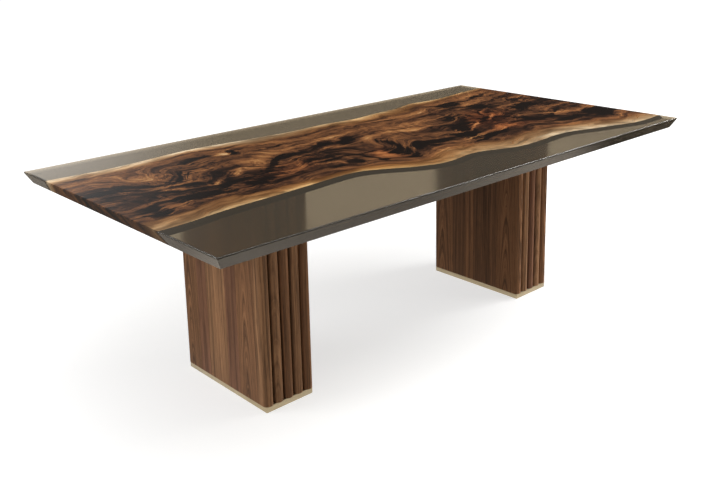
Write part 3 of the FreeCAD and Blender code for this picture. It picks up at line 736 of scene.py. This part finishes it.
rough = add_node(tree, "Math", {0: rough, 1: sanded}, operation="MAXIMUM")
rough = add_node(tree, "Math", {0: rough, 1: buffed}, operation="MAXIMUM")
tree.links.new(rough, shader.inputs["Roughness"])
shader.inputs["Base Color"].default_value = linear("#e0cdb0")
shader.inputs["IOR"].default_value = 1.5
shader.inputs["Transmission Weight"].default_value = 0.94
tint = add_node(tree, "VolumeAbsorption", {"Color": linear("#b0ada5"), "Density": 38.5})
tree.links.new(tint, tree.nodes["Material Output"].inputs["Volume"])
for name, rim_points, way in (("front", front_rim, -1), ("rear", rear_rim, 1)):
    strip = layered_sheet(name + "_resin_strip", slab_columns, resin_lanes)
    for corner in strip.data.vertices:
        u = narrow_rim(corner.co.x + 0.5, slab_columns, 2 * half_length) * 2 - 1
        v, depth = narrow_rim(corner.co.y + 0.5, resin_lanes, resin_width), -corner.co.z
        x = u * (half_length - edge_inset(depth))
        outer = way * (abs(half_depth) - edge_inset(depth))
        belly = math.sin(math.pi * depth / thickness)
        inner = live_edge(rim_points, way, x, depth) - way * bite * belly
        share = 1 - v if way < 0 else v
        corner.co = (x, inner + (outer - inner) * share, top_z - depth)
    bpy.context.view_layer.objects.active = strip
    bpy.ops.object.mode_set(mode="EDIT")
    bpy.ops.mesh.select_all(action="SELECT")
    bpy.ops.mesh.normals_make_consistent(inside=False)
    bpy.ops.object.mode_set(mode="OBJECT")
    bpy.ops.object.shade_smooth_by_angle(angle=math.radians(25))
    strip.data.materials.append(smoke_resin)
    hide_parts(name + "_resin")
    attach(strip, "table")

# Steel channels and mounting plates
# Three folded steel channels let into the underside keep the wide top flat, and a steel plate on each
# pedestal is bolted up into the slab. Both are powder coated and baked.
# Powder coat: black and satin, with a fine orange peel.
black_steel, tree, shader = open_material("black_powder_coated_steel")
place = add_node(tree, "TexCoord", out="Object")
peel = add_node(tree, "TexNoise", {"Vector": place, "Scale": 500.0, "Detail": 2.0})
colour = add_node(tree, "ValToRGB", {"Fac": peel}, stops=[(0.3, "#1d1d1e"), (0.7, "#2b2b2b")])
rough = add_node(tree, "MapRange", {0: peel, 1: 0.3, 2: 0.7, 3: 0.4, 4: 0.5})
bump = add_node(tree, "Bump", {"Strength": 0.25, "Distance": 0.0001, "Height": peel})
link_finish(tree, shader, colour, rough, bump)
refinish(["left_end_channel", "middle_channel", "right_end_channel", "left_mounting_plate",
          "right_mounting_plate"], black_steel)

# Floor
# A pale seamless studio sheet. It is white to the eye and through the resin, and keeps the table's shadow.
# In the polish it shows a painted reflection: a warm band away from the pedestals, weaker to the rear and
# dark at the right.
leg_middle = (plinth_middle + plinth_step).x
sheet_size = 40.0
sheet_drop = 0.0005
near_glow = 0.64
far_glow = 0.9
leg_squeeze = 0.45
rear_sheen = 0.4
floor_material, tree, shader = open_material("white_paper_sweep")
tree.nodes.remove(shader)
place = add_node(tree, "TexCoord", out="Object")
across_floor, along_leg = (add_node(tree, "SeparateXYZ", {0: place}, out=axis) for axis in "XY")

# Paper, which glows more the further it is from the table's middle
from_middle = add_node(tree, "VectorMath", {0: place}, out="Value", operation="LENGTH")
lift = add_node(tree, "MapRange", {0: from_middle, 1: 0.9, 2: 2.8, 3: near_glow, 4: far_glow},
                interpolation_type="SMOOTHSTEP")
seen = add_node(tree, "LightPath", out="Is Camera Ray")
mirrored = add_node(tree, "LightPath", out="Is Glossy Ray")
through = add_node(tree, "LightPath", out="Is Transmission Ray")
shown = add_node(tree, "Math", {0: seen, 1: through}, operation="MAXIMUM")
shown = add_node(tree, "Math", {0: shown, 1: mirrored}, operation="MAXIMUM")
paper = add_node(tree, "BsdfDiffuse", {"Color": linear("#bcbcbb")})
lifted = add_node(tree, "Math", {0: shown, 1: lift}, operation="MULTIPLY")
glow = add_node(tree, "Emission", {"Strength": lifted})
sheet = add_node(tree, "AddShader", {0: paper, 1: glow})

# Painted reflection, for gloss alone and away from the pedestals: a band of colours along x
either_leg = add_node(tree, "Math", {0: across_floor}, operation="ABSOLUTE")
from_leg = add_node(tree, "Math", {0: either_leg, 1: leg_middle}, operation="SUBTRACT")
beside_leg = add_node(tree, "Math", {0: along_leg, 1: leg_squeeze}, operation="MULTIPLY")
leg_point = add_node(tree, "CombineXYZ", {"X": from_leg, "Y": beside_leg})
leg_reach = add_node(tree, "VectorMath", {0: leg_point}, out="Value", operation="LENGTH")
away = add_node(tree, "MapRange", {0: leg_reach, 1: 0.17, 2: 0.26, 3: 0.0, 4: 1.0})
only_gloss = add_node(tree, "Math", {0: mirrored, 1: through}, operation="SUBTRACT", use_clamp=True)
gloss_away = add_node(tree, "Math", {0: only_gloss, 1: away}, operation="MULTIPLY")
sheen_at = add_node(tree, "MapRange", {0: across_floor, 1: -0.6, 2: 2.4, 3: 0.0, 4: 1.0})
sheen = add_node(tree, "ValToRGB", {"Fac": sheen_at},
                 stops=[(0.0, "#fff2e2"), (0.10, "#e0d3c5"), (0.30, "#bdb1a5"), (0.46, "#dccfc1"),
                        (0.57, "#f4e6d6"), (0.66, "#e0d3c5"), (0.75, "#6b655d"), (0.79, "#2a2825")])
towards_rear = add_node(tree, "MapRange", {0: along_leg, 1: 0.1, 2: 0.6, 3: 1.0, 4: rear_sheen})
painted_floor_reflection = add_node(tree, "Emission", {"Color": sheen, "Strength": towards_rear})
surface = add_node(tree, "MixShader", {0: gloss_away, 1: sheet, 2: painted_floor_reflection})
tree.links.new(surface, tree.nodes["Material Output"].inputs["Surface"])
bpy.ops.object.select_all(action="DESELECT")
bpy.ops.mesh.primitive_plane_add(size=sheet_size, location=(0, 0, -sheet_drop))
floor = bpy.context.active_object
floor.name = "floor"
floor.data.materials.append(floor_material)

# Studio light
# A large soft box overhead, one at the left, two that overlap high at the right front, and a low fill for
# the legs that doesn't show in the polish. The pale room is dark behind the table's right end and dim just
# above the floor, as the polished top shows it.
room_light = 0.30
dark_light = 0.03
scene = bpy.context.scene
scene.view_settings.view_transform = "Standard"
world = bpy.data.worlds.new("studio")
scene.world = world
world.use_nodes = True
tree = world.node_tree
background = tree.nodes["Background"]
direction = add_node(tree, "TexCoord", out="Generated")
way_x, way_y, way_z = (add_node(tree, "SeparateXYZ", {0: direction}, out=axis) for axis in "XYZ")

# The walls that the polish shows: bright beside the dark bearings, low down and clear of the floor
bearing = add_node(tree, "Math", {0: way_y, 1: way_x}, operation="ARCTAN2")
left_of_dark = add_node(tree, "MapRange", {0: bearing, 1: 0.97, 2: 1.22, 3: 0.0, 4: 1.0},
                        interpolation_type="SMOOTHSTEP")
right_of_dark = add_node(tree, "MapRange", {0: bearing, 1: -0.5, 2: 0.0, 3: 1.0, 4: 0.0},
                         interpolation_type="SMOOTHSTEP")
beside_dark = add_node(tree, "Math", {0: left_of_dark, 1: right_of_dark}, operation="MAXIMUM")
low_down = add_node(tree, "MapRange", {0: way_z, 1: 0.22, 2: 0.34, 3: 0.85, 4: 0.25},
                    interpolation_type="SMOOTHSTEP")
off_floor = add_node(tree, "MapRange", {0: way_z, 1: 0.08, 2: 0.16, 3: 0.15, 4: 1.0})
low_walls = add_node(tree, "Math", {0: low_down, 1: off_floor}, operation="MULTIPLY")
walls = add_node(tree, "Math", {0: beside_dark, 1: low_walls, 2: dark_light}, operation="MULTIPLY_ADD")
seen = add_node(tree, "LightPath", out="Is Camera Ray")
mirrored = add_node(tree, "LightPath", out="Is Glossy Ray")
through = add_node(tree, "LightPath", out="Is Transmission Ray")
shown = add_node(tree, "Math", {0: seen, 1: through}, operation="MAXIMUM")
room = add_node(tree, "Mix", {0: mirrored, 2: room_light, 3: walls}, data_type="FLOAT")
strength = add_node(tree, "Mix", {0: shown, 2: room, 3: 1.0}, data_type="FLOAT")
tree.links.new(strength, background.inputs["Strength"])
background.inputs["Color"].default_value = (1, 1, 1, 1)

# Lamps: name, place, aim, width, height, power in watts, and whether the polish shows them
lamps = (
    ("overhead_box", (-0.3, -0.5, 3.4), (0.0, 0.0, 0.7), 4.0, 3.0, 70.0, True),
    ("left_box", (-3.5, 1.4, 1.7), (-0.7, 0.0, 0.4), 2.2, 1.8, 58.0, True),
    ("right_box", (2.9, -1.22, 2.59), (2.9, -0.15, 1.06), 3.6, 1.1, 120.0, True),
    ("edge_box", (3.7, -1.22, 2.59), (3.7, -0.15, 1.06), 1.6, 1.1, 50.0, True),
    ("low_fill", (2.4, -1.9, 0.5), (0.4, -0.2, 0.35), 1.2, 0.7, 28.0, False),
)
for name, at, aim, width, height, power, in_polish in lamps:
    bpy.ops.object.light_add(type="AREA", location=at)
    lamp = bpy.context.active_object
    lamp.name = name
    lamp.rotation_euler = (Vector(aim) - Vector(at)).to_track_quat("-Z", "Y").to_euler()
    lamp.data.shape = "RECTANGLE"
    lamp.data.size = width
    lamp.data.size_y = height
    lamp.data.energy = power
    lamp.visible_camera = False
    lamp.visible_glossy = in_polish
    lamp.visible_transmission = in_polish

# Camera
# At the photograph's place, looking slightly down, with the part of its lens shift that the framing needs.
camera_place = (-2.3313, -2.4443, 1.5648)
camera_turn = -0.7383
camera_down = 0.2341
camera_roll = -0.0203
bpy.ops.object.camera_add()
camera = bpy.context.active_object
camera.matrix_world = (Matrix.Translation(camera_place) @ Matrix.Rotation(camera_turn, 4, "Z")
                       @ Matrix.Rotation(math.pi / 2 - camera_down, 4, "X")
                       @ Matrix.Rotation(camera_roll, 4, "Z"))
camera.data.sensor_width = 36.0
camera.data.lens = 45.182
camera.data.shift_y = -0.1389
scene.camera = camera
